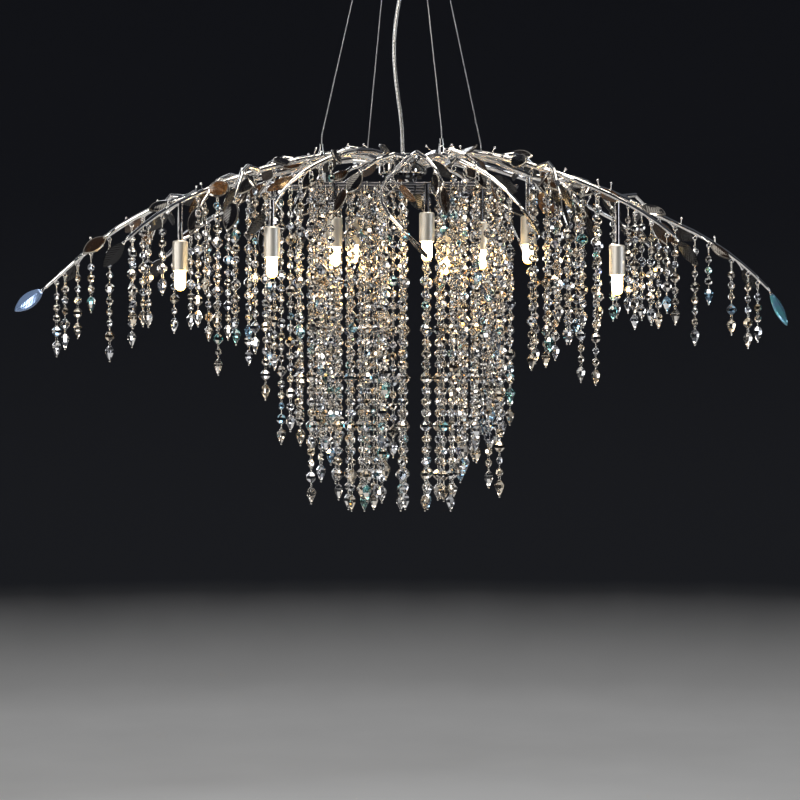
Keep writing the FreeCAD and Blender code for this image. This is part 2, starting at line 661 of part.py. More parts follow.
def buds(curve):
    """Small balls on pins that stand up from the arm, leaning to either side in turn."""
    pieces = []
    count = int(curve.length() / BUD_PITCH)
    for i in range(1, count):
        parameter = at_share(curve, i * BUD_PITCH / curve.length())
        start = curve.value(parameter)
        lean = FreeCAD.Rotation(level(outward(curve, parameter)), BUD_LEAN * (1 if i % 2 else -1))
        way = lean.multVec(UP)
        length = BUD_LENGTH * (1.0 + 0.25 * (i % 3))
        pieces.append(Part.makeCylinder(BUD_PIN_R, length, start, way))
        pieces.append(Part.makeSphere(BUD_BALL_R, start + way * length))
    return pieces


def leaf_way(curve, spot):
    """Where a leaf's twig leaves the arm, and the way the twig and leaf point."""
    share, side, turn, dip = spot[:4]
    parameter = at_share(curve, share)
    flat = level(outward(curve, parameter))
    rotate = FreeCAD.Rotation(UP, side * turn)
    flat = rotate.multVec(flat)
    way = flat * math.cos(math.radians(dip)) - UP * math.sin(math.radians(dip))
    return curve.value(parameter), way


def twig(curve, spot):
    """A tapered twig that ends in a small cup for its leaf."""
    start, way = leaf_way(curve, spot)
    length = spot[4] + arm_clear(curve, spot)
    stem = Part.makeCone(TWIG_R, TWIG_TIP_R, length, start, way)
    cup = Part.makeCone(TWIG_TIP_R, SEAT_CUP_R, SEAT_CUP_LENGTH, start + way * (length - 0.5), way)
    return stem.fuse(cup)


def arm_clear(curve, spot):
    """How far inside the branch's body the twig begins."""
    return 3.0 if spot[0] < 1.0 else 0.0


def leaf_seat(curve, spot):
    start, way = leaf_way(curve, spot)
    length = spot[4] + arm_clear(curve, spot)
    return start + way * (length - 0.5 + SEAT_CUP_LENGTH + SEAT), way


def leaf_bearers(name):
    """The arm and its shoots, each as a curve with its leaf spots."""
    curve = arm_curve(name)
    bearers = [(curve, LEAF_SPOTS[name])]
    for spot in SHOOTS[name]:
        shoot = shoot_curve(curve, spot)
        bearers.append((shoot, shoot_leaf_spots(shoot, spot[1])))
    return bearers


def arm(name):
    """The branch with its shoots, cut clear of the hub, and then all that is welded to it."""
    curve = arm_curve(name)
    branch = arm_tube(name, curve).multiFuse([shoot_tube(shoot_curve(curve, spot)) for spot in SHOOTS[name]])
    branch = branch.cut(rod(0, 0, HUB_TOP + 20, HUB_TOP - HUB_DEPTH - 20, HUB_R + SEAT))
    branch = branch.cut(rod(0, 0, HUB_TOP + 20, HUB_TOP - SEAT, HUB_R + HUB_LID_OVER + SEAT))
    pieces = [twig(bearer, spot) for bearer, spots in leaf_bearers(name) for spot in spots]
    pieces += buds(curve)
    for arm_name, axis, strands in ARM_STRANDS.values():
        if arm_name == name:
            pieces += [eyelet(name, curve, at_place(curve, place, axis)) for place, _ in strands]
    if name in CABLE_ARMS:
        x, y = cable_places(CABLE_CIRCLE_R)[name]
        near = curve.value(curve.parameter(Vector(x, y, BOSS_TOP - 6)))
        pieces.append(rod(x, y, BOSS_TOP, near.z - 1, BOSS_R))
    for x, y, cup_top, carrier in LAMPS:
        if carrier == name:
            near = curve.value(curve.parameter(Vector(x, y, cup_top + 40)))
            pieces.append(stem(x, y, near.z, cup_top))
    return branch.multiFuse(pieces)


# Strand rack

def row_y(place):
    return place * ROD_PITCH


def rack():
    """Four straight rods on two cross rods, under a plate that screws to the hub."""
    pieces = []
    for place, _ in ROW_STRANDS.values():
        half = LONG_ROD_HALF if abs(place) < 1 else SHORT_ROD_HALF
        y = row_y(place)
        pieces.append(Part.makeCylinder(ROD_R, 2 * half, Vector(-half, y, RACK_Z), Vector(1, 0, 0)))
        for end in (-1, 1):
            pieces.append(Part.makeSphere(ROD_R + 0.8, Vector(end * half, y, RACK_Z)))
    reach = 1.5 * ROD_PITCH
    plate_top = HUB_TOP - HUB_DEPTH - SEAT
    plate_bottom = plate_top - RACK_PLATE_THICK
    for x in CROSS_ROD_X:
        pieces.append(Part.makeCylinder(ROD_R, 2 * reach, Vector(x, -reach, RACK_Z), Vector(0, 1, 0)))
        for y in (-0.25 * ROD_PITCH, 0.25 * ROD_PITCH):
            pieces.append(rod(x, y, plate_bottom + 1, RACK_Z, ROD_R + 0.5))
    for x, y, cup_top, carrier in LAMPS:
        if carrier is None:
            pieces.append(stem(x, y, RACK_Z, cup_top))
    plate = rod(0, 0, plate_top, plate_bottom, RACK_PLATE_R)
    holes = [rod(x, y, plate_top, plate_bottom, SCREW_R + 2 * FIT_GAP) for x, y in boss_places()]
    return plate.multiFuse(pieces).cut(Part.makeCompound(holes)).removeSplitter()


# Lamps

def stem(x, y, top, cup_top):
    """The lamp's stem, stepped down to the neck that passes through the cup."""
    neck_bottom = cup_top - STEM_NECK_LENGTH
    return rod(x, y, top, cup_top + SEAT, STEM_R).fuse(rod(x, y, cup_top + 5, neck_bottom, STEM_NECK_R))


def lamp_cup(x, y, top):
    inner = CUP_R - CUP_WALL
    bottom = top - CUP_HEIGHT
    cup = spun([(STEM_NECK_R + FIT_GAP, top), (CUP_R - 1.5, top), (CUP_R, top - 1.5), (CUP_R, bottom),
                (inner, bottom), (inner, top - CUP_TOP_THICK - 1),
                (inner - 1, top - CUP_TOP_THICK), (STEM_NECK_R + FIT_GAP, top - CUP_TOP_THICK)])
    cup.translate(Vector(x, y, 0))
    return cup


def lamp_nut(x, y, cup_top):
    top = cup_top - CUP_TOP_THICK - FIT_GAP
    nut = hexagon(x, y, top, top - NUT_THICK, NUT_R)
    return nut.cut(rod(x, y, top, top - NUT_THICK, STEM_NECK_R + FIT_GAP))


def socket_top(cup_top):
    return cup_top - STEM_NECK_LENGTH - SEAT


def lamp_socket(x, y, cup_top):
    top = socket_top(cup_top)
    body = rod(x, y, top, top - SOCKET_HEIGHT, SOCKET_R)
    bore = rod(x, y, top - SOCKET_HEIGHT + SOCKET_BORE_DEPTH, top - SOCKET_HEIGHT, SOCKET_BORE_R)
    return body.cut(bore)


def bulb(x, y, cup_top):
    """A capsule bulb: a round base in the holder and a glass capsule below it."""
    base_top = socket_top(cup_top) - SOCKET_HEIGHT + SOCKET_BORE_DEPTH - SEAT
    glass_top = base_top - BULB_BASE_LENGTH
    dome = glass_top - BULB_LENGTH + BULB_R
    base = rod(x, y, base_top, glass_top - 1, BULB_BASE_R)
    neck = Part.makeCone(BULB_BASE_R, BULB_R, 2.5, Vector(x, y, glass_top - 0.5), Vector(0, 0, -1))
    glass = rod(x, y, glass_top - 3, dome, BULB_R)
    end = Part.makeSphere(BULB_R, Vector(x, y, dome))
    return base.multiFuse([neck, glass, end]).removeSplitter()


# Leaves

def leaf(base, way, size, roll):
    """A faceted glass leaf: flat back, upright rim and a raised middle ridge.

    roll is how far it leans over about its own length, in degrees."""
    length = LEAF_LENGTH * size
    half = LEAF_WIDTH * size / 2
    outline = [(0, 0.22), (0.28, 0.86), (0.55, 1.0), (0.82, 0.55), (1.0, 0.0),
               (0.82, -0.55), (0.55, -1.0), (0.28, -0.86), (0, -0.22)]
    rim = [(length * u, half * v) for u, v in outline]
    ridge = [(0.1 * length, 0, LEAF_RIM + LEAF_RIDGE * 0.5), (0.5 * length, 0, LEAF_RIM + LEAF_RIDGE),
             (0.85 * length, 0, LEAF_RIM + LEAF_RIDGE * 0.5)]
    low = [Vector(u, v, 0) for u, v in rim]
    high = [Vector(u, v, LEAF_RIM) for u, v in rim]
    near, middle, far = [Vector(*p) for p in ridge]
    faces = [low[::-1] + [low[-1]]]
    count = len(rim)
    for i in range(count):
        j = (i + 1) % count
        faces.append([low[i], low[j], high[j], high[i], low[i]])
    tops = [near, near, middle, far, far, middle, near, near]
    for i, peak in enumerate(tops):
        faces.append([high[i], high[i + 1], peak, high[i]])
    faces.append([high[8], high[0], near, high[8]])
    faces.append([near, high[2], middle, near])
    faces.append([near, middle, high[6], near])
    faces.append([middle, high[3], far, middle])
    faces.append([middle, far, high[5], middle])
    shell = Part.makeShell([Part.Face(Part.makePolygon(f)) for f in faces])
    solid = Part.Solid(shell)
    side = UP.cross(way)
    side.normalize()
    side = FreeCAD.Rotation(way, roll).multVec(side)
    normal = way.cross(side)
    turn = FreeCAD.Rotation(way, side, normal, "XZY")
    solid.Placement = FreeCAD.Placement(base - normal * (LEAF_RIM / 2), turn)
    if solid.Volume < 0:
        solid.reverse()
    return solid


def arm_leaves(name):
    leaves = []
    for curve, spots in leaf_bearers(name):
        for i, spot in enumerate(spots):
            base, way = leaf_seat(curve, spot)
            lean = LEAF_ROLLS[i % len(LEAF_ROLLS)]
            leaves.append(leaf(base, way, spot[5], -lean * (spot[1] or (-1) ** i)))
    return leaves


# Crystal strands

def strand_outline(beads):
    """(radius, height) corners down one strand, from the ring's foot at height 0."""
    corners = [(0, 0), (LINK_WIRE_R, 0)]
    z = -LINK_LENGTH
    for i in range(beads):
        large = i % LARGE_EVERY == LARGE_EVERY - 1
        radius = LARGE_BEAD_R if large else BEAD_R
        cone = LARGE_BEAD_CONE if large else BEAD_CONE
        band = LARGE_BEAD_BAND if large else BEAD_BAND
        corners += [(LINK_WIRE_R, z), (radius, z - cone), (radius, z - cone - band),
                    (LINK_WIRE_R, z - 2 * cone - band)]
        z -= 2 * cone + band + LINK_LENGTH
    corners += [(LINK_WIRE_R, z), (DROP_R, z - DROP_TOP), (DROP_R, z - DROP_TOP - DROP_BAND),
                (LINK_WIRE_R + 0.5, z - DROP_TOP - DROP_BAND - DROP_BOTTOM),
                (LINK_WIRE_R + 0.5, z - DROP_TOP - DROP_BAND - DROP_BOTTOM - DROP_PIN)]
    return corners + [(0, corners[-1][1])]


MADE_STRANDS = {}


def strand(beads, wire_top, ring_axis):
    """One strand whose ring's topmost wire is centred at a point."""
    if beads not in MADE_STRANDS:
        body = spun(strand_outline(beads))
        body.translate(Vector(0, 0, -2 * RING_R + RING_WIRE_R))
        ring = Part.makeTorus(RING_R, RING_WIRE_R, Vector(0, 0, -RING_R), Vector(1, 0, 0))
        MADE_STRANDS[beads] = ring.fuse(body).removeSplitter()
    solid = MADE_STRANDS[beads].copy()
    turn = math.degrees(math.atan2(ring_axis.y, ring_axis.x))
    solid.Placement = FreeCAD.Placement(wire_top, FreeCAD.Rotation(UP, turn))
    return solid


def arm_bank(arm_name, axis, strands):
    """The strands in an arm's eyelets, with the line through their eyelets."""
    curve = arm_curve(arm_name)
    play = EYELET_R - EYELET_WIRE_R - RING_WIRE_R - SEAT
    solids = []
    centres = []
    for place, beads in strands:
        parameter = at_place(curve, place, axis)
        centre = eyelet_centre(arm_name, curve, parameter)
        centres.append(centre)
        solids.append(strand(beads, centre - UP * play, level(outward(curve, parameter))))
    return solids, centres


def row_bank(place, strands):
    """The strands whose rings go round one rod of the rack."""
    y = row_y(place)
    top = RACK_Z + ROD_R + SEAT + RING_WIRE_R
    return [strand(beads, Vector(x, y, top), Vector(1, 0, 0)) for x, beads in strands]


def hinge_line(name, centres):
    """Prints the straight line nearest to a bank's eyelets."""
    count = len(centres)
    middle = Vector(0, 0, 0)
    for c in centres:
        middle += c * (1.0 / count)
    way = centres[-1] - centres[0]
    for _ in range(20):
        total = Vector(0, 0, 0)
        for c in centres:
            total += (c - middle) * ((c - middle).dot(way))
        way = total
        way.normalize()
    off = max((c - middle).cross(way).Length for c in centres)
    print("hinge", name, [round(v, 2) for v in middle], [round(v, 5) for v in way],
          "eyelets off it by", round(off, 1))


# All pieces

def main():
    os.makedirs("parts", exist_ok=True)
    save("ceiling_bracket", [ceiling_bracket()])
    save("canopy", [canopy()])
    save("canopy_cap_nuts", [cap_nut(s * STUD_SPACING / 2) for s in (-1, 1)])
    save("terminal_block", [terminal_block()])
    grippers = cable_places(GRIPPER_CIRCLE_R)
    save("cable_grippers", [gripper_body(x, y) for x, y in grippers.values()])
    save("gripper_nuts", [gripper_nut(x, y) for x, y in grippers.values()])
    for i, (name, (x, y)) in enumerate(grippers.items(), 1):
        save(f"gripper_sleeve_{i}", [gripper_sleeve(x, y)])
        save(f"suspension_cable_{i}", [cable(name)])
    save("cable_ferrules", [ferrule(x, y) for x, y in cable_places(CABLE_CIRCLE_R).values()])
    save("power_cord", [tube_along(CORD_POINTS, CORD_R, "power cord")])
    save("cord_bushes", [grommet(-CANOPY_DEPTH + CANOPY_WALL, CANOPY_WALL),
                         grommet(HUB_TOP + FIT_GAP + HUB_LID_THICK, HUB_LID_THICK)])
    save("hub_cup", [hub_cup()])
    save("hub_lid", [hub_lid()])
    save("hub_screws", hub_screws())
    for node, names in ARM_GROUPS.items():
        save(node, [arm(name) for name in names])
    save("strand_rack", [rack()])
    for node, names in LEAF_GROUPS.items():
        save(node, [piece for name in names for piece in arm_leaves(name)])
    save("lamp_cups", [lamp_cup(x, y, top) for x, y, top, _ in LAMPS])
    save("lamp_nuts", [lamp_nut(x, y, top) for x, y, top, _ in LAMPS])
    save("lamp_sockets", [lamp_socket(x, y, top) for x, y, top, _ in LAMPS])
    for i, (x, y, top, _) in enumerate(LAMPS, 1):
        save(f"bulb_{i}", [bulb(x, y, top)])
    for node, (arm_name, axis, strands) in ARM_STRANDS.items():
        solids, centres = arm_bank(arm_name, axis, strands)
        hinge_line(node, centres)
        save(node, solids)
    for node, (place, strands) in ROW_STRANDS.items():
        save(node, row_bank(place, strands))


main()
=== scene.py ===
import math

import bmesh
import bpy
import numpy as np
from mathutils import Matrix, Vector


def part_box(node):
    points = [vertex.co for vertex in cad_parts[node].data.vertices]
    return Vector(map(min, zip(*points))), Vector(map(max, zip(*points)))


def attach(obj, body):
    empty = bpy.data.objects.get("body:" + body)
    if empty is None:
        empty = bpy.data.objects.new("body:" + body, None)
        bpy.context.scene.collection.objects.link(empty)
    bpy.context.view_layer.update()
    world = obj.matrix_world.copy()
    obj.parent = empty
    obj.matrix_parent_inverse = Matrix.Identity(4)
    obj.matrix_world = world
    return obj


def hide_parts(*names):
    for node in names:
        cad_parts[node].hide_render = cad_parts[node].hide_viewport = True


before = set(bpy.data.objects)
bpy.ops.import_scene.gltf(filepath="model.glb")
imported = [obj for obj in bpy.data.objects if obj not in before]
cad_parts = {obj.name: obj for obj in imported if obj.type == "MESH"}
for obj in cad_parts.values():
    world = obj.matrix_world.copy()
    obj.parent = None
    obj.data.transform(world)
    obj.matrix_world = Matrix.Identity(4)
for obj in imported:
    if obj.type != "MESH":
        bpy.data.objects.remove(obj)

scene = bpy.context.scene
scene.view_settings.view_transform = "Standard"
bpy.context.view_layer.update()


# Camera and lights
# The camera is level with the middle of the crystals, 2.6 m in front of the fitting.
# Soft boxes stand in front, above and behind, and two upright strips stand at the sides.
camera = bpy.data.objects.new("camera", bpy.data.cameras.new("camera"))
camera.data.sensor_width = 36
camera.data.lens = 88
camera.location = (-0.004, -2.6, -0.604)
camera.rotation_euler = (math.radians(90), 0, 0)
scene.collection.objects.link(camera)
scene.camera = camera

world = bpy.data.worlds.new("studio")
scene.world = world
world.use_nodes = True
world.node_tree.nodes["Background"].inputs["Color"].default_value = (0.78, 0.85, 1.0, 1)
world.node_tree.nodes["Background"].inputs["Strength"].default_value = 0.08

FITTING_MIDDLE = Vector((0, 0, -0.45))
SOFT_BOXES = {
    "key": ((-1.6, -2.2, 0.8), (0.9, 0.9), 31, (1.0, 0.96, 0.90)),
    "left_strip": ((-2.5, -0.9, -0.5), (0.35, 1.9), 11, (1.0, 0.97, 0.93)),
    "right_strip": ((2.4, -1.2, -0.3), (0.35, 1.9), 12, (0.86, 0.92, 1.0)),
    "above": ((0.2, -0.3, 1.4), (1.4, 0.7), 24, (1.0, 0.92, 0.80)),
    "behind": ((-0.9, 2.6, 0.3), (1.3, 1.3), 20, (0.92, 0.95, 1.0)),
}
for name, (place, (width, height), watts, colour) in SOFT_BOXES.items():
    lamp = bpy.data.lights.new(name, "AREA")
    lamp.shape = "RECTANGLE"
    lamp.size = width
    lamp.size_y = height
    lamp.energy = watts
    lamp.color = colour
    soft_box = bpy.data.objects.new(name, lamp)
    soft_box.location = place
    soft_box.rotation_euler = (FITTING_MIDDLE - Vector(place)).to_track_quat("-Z", "Y").to_euler()
    soft_box.visible_camera = False
    scene.collection.objects.link(soft_box)


# Floor and wall
# One matt sweep: a pale floor that curves up into a dark blue-grey wall all round the fitting. Its colour
# darkens up the cove as painted fall-off of light, and the floor carries a faint painted glow seen only by
# the camera and in reflections.
class Number:
    """A value that varies over a surface, so that shader maths reads as Python."""

    def __init__(self, finish, socket):
        self.finish = finish
        self.socket = socket

    def maths(self, operation, first, second):
        return self.finish.node("ShaderNodeMath", {"operation": operation}, {0: first, 1: second})

    def __add__(self, other):
        return self.maths("ADD", self, other)

    def __radd__(self, other):
        return self.maths("ADD", other, self)

    def __sub__(self, other):
        return self.maths("SUBTRACT", self, other)

    def __rsub__(self, other):
        return self.maths("SUBTRACT", other, self)

    def __mul__(self, other):
        return self.maths("MULTIPLY", self, other)

    def __rmul__(self, other):
        return self.maths("MULTIPLY", other, self)

    def size(self):
        return self.maths("ABSOLUTE", self, 0)

    def wave(self):
        return self.maths("SINE", self, 0)


class Finish:
    """A material with one Principled surface, whose nodes are added as its pattern needs."""

    def __init__(self, name, **sockets):
        self.material = bpy.data.materials.new(name)
        self.material.use_nodes = True
        self.tree = self.material.node_tree
        self.surface = self.tree.nodes["Principled BSDF"]
        self.set(**sockets)

    def set(self, **sockets):
        """Gives the surface its values; Base_Color is the socket Base Color."""
        for name, value in sockets.items():
            self.join(self.surface.inputs[name.replace("_", " ")], value)

    def join(self, socket, value):
        if isinstance(value, Number):
            self.tree.links.new(value.socket, socket)
        elif isinstance(value, tuple) and len(value) == 3 and socket.type == "RGBA":
            socket.default_value = (*value, 1)
        else:
            socket.default_value = value

    def node(self, kind, settings, sockets, output=0):
        """Adds a node, sets it, and returns one of its outputs."""
        made = self.tree.nodes.new(kind)
        for name, value in settings.items():
            if name == "stops":
                ramp = made.color_ramp.elements
                while len(ramp) < len(value):
                    ramp.new(0.5)
                for stop, (place, colour) in zip(ramp, value):
                    stop.position = place
                    stop.color = (*colour, 1)
            else:
                setattr(made, name, value)
        for name, value in sockets.items():
            self.join(made.inputs[name], value)
        return Number(self, made.outputs[output])

    def place(self):
        """The point's place on the piece, in metres."""
        return self.node("ShaderNodeTexCoord", {}, {}, "Object")

    def height(self):
        return self.node("ShaderNodeSeparateXYZ", {}, {0: self.place()}, "Z")

    def noise(self, scale, detail=2.0, stretch=(1, 1, 1)):
        vector = self.node("ShaderNodeMapping", {}, {"Vector": self.place(), "Scale": stretch})
        return self.node("ShaderNodeTexNoise", {}, {"Vector": vector, "Scale": scale, "Detail": detail})

    def own(self, name):
        """A value that the piece carries on its faces or points."""
        return self.node("ShaderNodeAttribute", {"attribute_name": name}, {}, "Fac")

    def ramp(self, value, stops):
        return self.node("ShaderNodeValToRGB", {"stops": stops}, {0: value})

    def mixed(self, share, first, second):
        return self.node("ShaderNodeMix", {"data_type": "RGBA"}, {0: share, 6: first, 7: second}, 2)

    def bump(self, height, strength, distance):
        self.set(Normal=self.node("ShaderNodeBump", {}, {"Height": height, "Strength": strength,
                                                         "Distance": distance}))


def spun(outline, steps):
    """A shell of revolution about Z from (radius, height) corners."""
    shell = bmesh.new()
    corners = [shell.verts.new((r, 0, z)) for r, z in outline]
    edges = [shell.edges.new(pair) for pair in zip(corners, corners[1:])]
    bmesh.ops.spin(shell, geom=corners + edges, axis=(0, 0, 1), cent=(0, 0, 0), angle=math.tau,
                   steps=steps, use_merge=True)
    bmesh.ops.remove_doubles(shell, verts=shell.verts, dist=1e-6)
    bmesh.ops.recalc_face_normals(shell, faces=shell.faces)
    return shell


def made_mesh(name, shell, finishes, crease):
    """A mesh from a shell; edges sharper than the crease angle stay sharp, and 0 keeps its facets."""
    mesh = bpy.data.meshes.new(name)
    shell.to_mesh(mesh)
    shell.free()
    for finish in finishes:
        mesh.materials.append(finish.material)
    if crease:
        mesh.shade_smooth()
        mesh.set_sharp_from_angle(angle=math.radians(crease))
    return mesh


FLOOR_Z = -1.75
SWEEP_R = 5.6
COVE_R = 1.2
cove = [(SWEEP_R - COVE_R + COVE_R * math.sin(math.radians(a)),
         FLOOR_Z + COVE_R - COVE_R * math.cos(math.radians(a))) for a in range(0, 91, 10)]
sweep_finish = Finish("sweep", Roughness=0.9, Specular_IOR_Level=0.1)
climb = (sweep_finish.height() - FLOOR_Z) * 0.5 + sweep_finish.noise(3.0) * 0.015
# The colour runs from pale on the floor to dark up the cove: painted fall-off of light, over a dark blue-grey
# wall.
sweep_finish.set(Base_Color=sweep_finish.ramp(climb, [(0.0, (0.76, 0.76, 0.75)), (0.05, (0.56, 0.56, 0.56)),
                                                      (0.22, (0.065, 0.070, 0.085)),
                                                      (1.0, (0.035, 0.038, 0.050))]))
# Painted light: a faint glow on the floor and low cove, seen only by camera rays and glossy rays.
seen = sweep_finish.node("ShaderNodeLightPath", {}, {}, "Is Camera Ray")
seen = seen + sweep_finish.node("ShaderNodeLightPath", {}, {}, "Is Glossy Ray")
sweep_finish.set(Emission_Color=sweep_finish.mixed(seen, (0.0, 0.0, 0.0), sweep_finish.ramp(climb, [
    (0.0, (0.20, 0.20, 0.20)), (0.05, (0.12, 0.12, 0.12)), (0.20, (0.0, 0.0, 0.0))])), Emission_Strength=1.0)
sweep_shell = spun([(0, FLOOR_Z)] + cove + [(SWEEP_R, 2.4)], 96)
bmesh.ops.reverse_faces(sweep_shell, faces=sweep_shell.faces)
sweep = bpy.data.objects.new("sweep", made_mesh("sweep", sweep_shell, [sweep_finish], 40))
scene.collection.objects.link(sweep)


# Suspension cables
# Four stranded steel cables, 1.5 mm thick. Each is held in its gripper under the canopy
# and pressed into a ferrule on its arm.
def piece(name, data, body, slot, *nodes):
    """A finished piece that rides on a body and stands for CAD nodes."""
    made = bpy.data.objects.new(name, data)
    scene.collection.objects.link(made)
    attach(made, body)
    if nodes:
        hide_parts(*nodes)
    return made


def hung_line(name, route, radius, finish):
    """A round line on one smooth curve whose control points are the route."""
    line = bpy.data.curves.new(name, "CURVE")
    line.dimensions = "3D"
    line.bevel_depth = radius
    line.bevel_resolution = 3
    line.resolution_u = 12
    spline = line.splines.new("NURBS")
    spline.points.add(len(route) - 1)
    for point, place in zip(spline.points, route):
        point.co = (*place, 1)
    spline.order_u = 3
    spline.use_endpoint_u = True
    line.materials.append(finish.material)
    return line


CABLE_TURN = 24.9
GRIPPER_CIRCLE_R = 0.069
FERRULE_CIRCLE_R = 0.117
CABLE_R = 0.00075
CABLE_TOP = -0.017
GRIPPER_FOOT = -0.0521
UPPER_BEND = -0.0611
LOWER_BEND = -0.2606
CABLE_FOOT = -0.2706
BEND_LENGTH = 0.009
cable_steel = Finish("cable_steel", Metallic=1.0, Roughness=0.28)
lay = cable_steel.node("ShaderNodeTexWave", {"bands_direction": "DIAGONAL"},
                       {"Vector": cable_steel.place(), "Scale": 420.0, "Distortion": 0.4})
# The crests of the lay are light and its grooves dark: painted shade in the grooves.
cable_steel.set(Base_Color=cable_steel.mixed(lay, (0.40, 0.40, 0.41), (0.74, 0.74, 0.73)))
cable_steel.bump(lay, 0.6, 0.0002)

for number, turn in enumerate((0, 90, 180, 270), 1):
    angle = math.radians(CABLE_TURN + turn)
    way = Vector((math.cos(angle), math.sin(angle), 0))
    top = way * GRIPPER_CIRCLE_R
    low = way * FERRULE_CIRCLE_R
    upper_bend = top + Vector((0, 0, UPPER_BEND))
    lower_bend = low + Vector((0, 0, LOWER_BEND))
    bend = (lower_bend - upper_bend).normalized() * BEND_LENGTH
    route = [top + Vector((0, 0, CABLE_TOP)), top + Vector((0, 0, GRIPPER_FOOT)), upper_bend,
             upper_bend + bend, lower_bend - bend, lower_bend, low + Vector((0, 0, CABLE_FOOT))]
    node = f"suspension_cable_{number}"
    cable = piece(f"steel_cable_{number}", hung_line(f"steel_cable_{number}", route, CABLE_R, cable_steel),
                  "frame", "cable_steel", node)


# Power cord
# A round cord with a clear jacket over silvered cores. It hangs slightly wavy from the
# terminal block, through a bush in the canopy and another in the hub's lid.
CORD_R = 0.0025
CORD_ROUTE = [(0, 0, -0.018), (0, 0, -0.052), (-0.008, 0.002, -0.088), (-0.0125, 0.003, -0.135),
              (-0.009, 0.001, -0.182), (-0.0025, -0.001, -0.226), (0, 0, -0.257), (0, 0, -0.290)]
cord_finish = Finish("clear_cord", Metallic=0.75, Roughness=0.24, Coat_Weight=1.0, Coat_Roughness=0.08)
cores = cord_finish.node("ShaderNodeTexWave", {"bands_direction": "DIAGONAL"},
                         {"Vector": cord_finish.place(), "Scale": 120.0, "Distortion": 1.5})
# The silvered cores are light and the grooves between them dark: painted shade in the grooves.
cord_finish.set(Base_Color=cord_finish.mixed(cores, (0.46, 0.45, 0.43), (0.86, 0.83, 0.78)))
cord_finish.bump(cores, 0.25, 0.0004)
power_cord = piece("clear_power_cord", hung_line("clear_power_cord", CORD_ROUTE, CORD_R, cord_finish),
                   "frame", "clear_cord", "power_cord")


# Arms and strand rack
# Tapered steel branches with side shoots, twigs, leaf cups, buds and eyelets, welded to the
# hub and plated in bright chrome that runs wavy over the worked metal. The rack of welded
# rods is screwed under the hub and plated dark.
branch_chrome = Finish("branch_chrome", Metallic=1.0)
clouds = branch_chrome.noise(40.0, 2.0)
branch_chrome.set(Base_Color=branch_chrome.mixed(clouds, (0.80, 0.79, 0.80), (0.97, 0.95, 0.92)),
                  Roughness=0.02 + 0.06 * clouds)
branch_chrome.bump(branch_chrome.noise(26.0, 1.0), 1.0, 0.003)


SKIN_STEP = 0.00062


def dressed(finish, *nodes):
    """Gives CAD nodes their finish."""
    for node in nodes:
        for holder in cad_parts[node].material_slots:
            holder.material = finish.material


def branch(name, node):
    """The branches of a CAD node with their welds run smooth, as one even skin."""
    shell = bmesh.new()
    shell.from_mesh(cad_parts[node].data)
    bmesh.ops.remove_doubles(shell, verts=shell.verts, dist=2e-6)
    made = piece(name, made_mesh(name, shell, [branch_chrome], 0), "frame", "branch_chrome", node)
    skin = made.modifiers.new("skin", "REMESH")
    skin.mode = "VOXEL"
    skin.voxel_size = SKIN_STEP
    skin.use_smooth_shade = True
    flow = made.modifiers.new("flow", "SMOOTH")
    flow.factor = 0.5
    flow.iterations = 2


BRANCHES = {"arm_left": "branch_left", "arm_right": "branch_right", "arms_left_side": "branches_left_side",
            "arms_right_side": "branches_right_side", "arms_front": "branches_front",
            "arms_back": "branches_back"}
for node, name in BRANCHES.items():
    branch(name, node)
rack_chrome = Finish("rack_chrome", Metallic=1.0)
rack_clouds = rack_chrome.noise(60.0, 2.0)
rack_chrome.set(Base_Color=rack_chrome.mixed(rack_clouds, (0.10, 0.10, 0.11), (0.22, 0.22, 0.24)),
                Roughness=0.06 + 0.08 * rack_clouds)
dressed(rack_chrome, "strand_rack")


# Crystal strands
# Eight-sided crystal beads cut on both faces, joined by small plated rings, with a larger
# round bead at every fourth place and a pear drop on a pin at the foot. Some facets carry a
# mirror coat. Each strand's top ring hangs in an eyelet of an arm, or round a rod of the rack.
CRYSTAL_TONES = [(0.0, (0.93, 0.92, 0.91)), (0.35, (0.96, 0.83, 0.64)), (0.65, (0.82, 0.86, 0.94)),
                 (1.0, (0.94, 0.87, 0.78))]
crystal = Finish("clear_crystal", Transmission_Weight=1.0, Roughness=0.0, IOR=1.58)
crystal.set(Base_Color=crystal.ramp(crystal.own("tone"), CRYSTAL_TONES))
coated_crystal = Finish("coated_crystal", Transmission_Weight=1.0, Roughness=0.0, IOR=1.6)
coated_crystal.set(Base_Color=coated_crystal.ramp(coated_crystal.own("tone"), [
    (0.0, (0.42, 0.72, 1.0)), (0.5, (0.40, 0.90, 0.92)), (1.0, (0.62, 0.68, 1.0))]))
mirror_facet = Finish("mirror_facet", Metallic=1.0)
mirror_facet.set(Base_Color=mirror_facet.ramp(mirror_facet.own("tone"), CRYSTAL_TONES),
                 Roughness=0.04 + 0.05 * mirror_facet.noise(900.0, 1.0))
link_metal = Finish("link_metal", Metallic=1.0, Base_Color=(0.86, 0.83, 0.76))
link_metal.set(Roughness=0.12 + 0.15 * link_metal.noise(500.0, 2.0))

RING_R = 0.0042
RING_WIRE_R = 0.0006
LINK_LENGTH = 0.005
LINK_WIRE_R = 0.0005
LINK_R = 0.0013
LINK_GRIP = 0.0006
BEAD_HEIGHT = 0.0096
BEAD_WIDTH = 0.0098
BEAD_THICK = 0.0076
LARGE_HEIGHT = 0.015
LARGE_WIDTH = 0.0132
LARGE_EVERY = 4
DROP_HEIGHT = 0.019
DROP_WIDTH = 0.0124
PIN_LENGTH = 0.003
PIN_R = 0.0007
PIN_HEAD_R = 0.0013
MOST_SLACK = 0.004


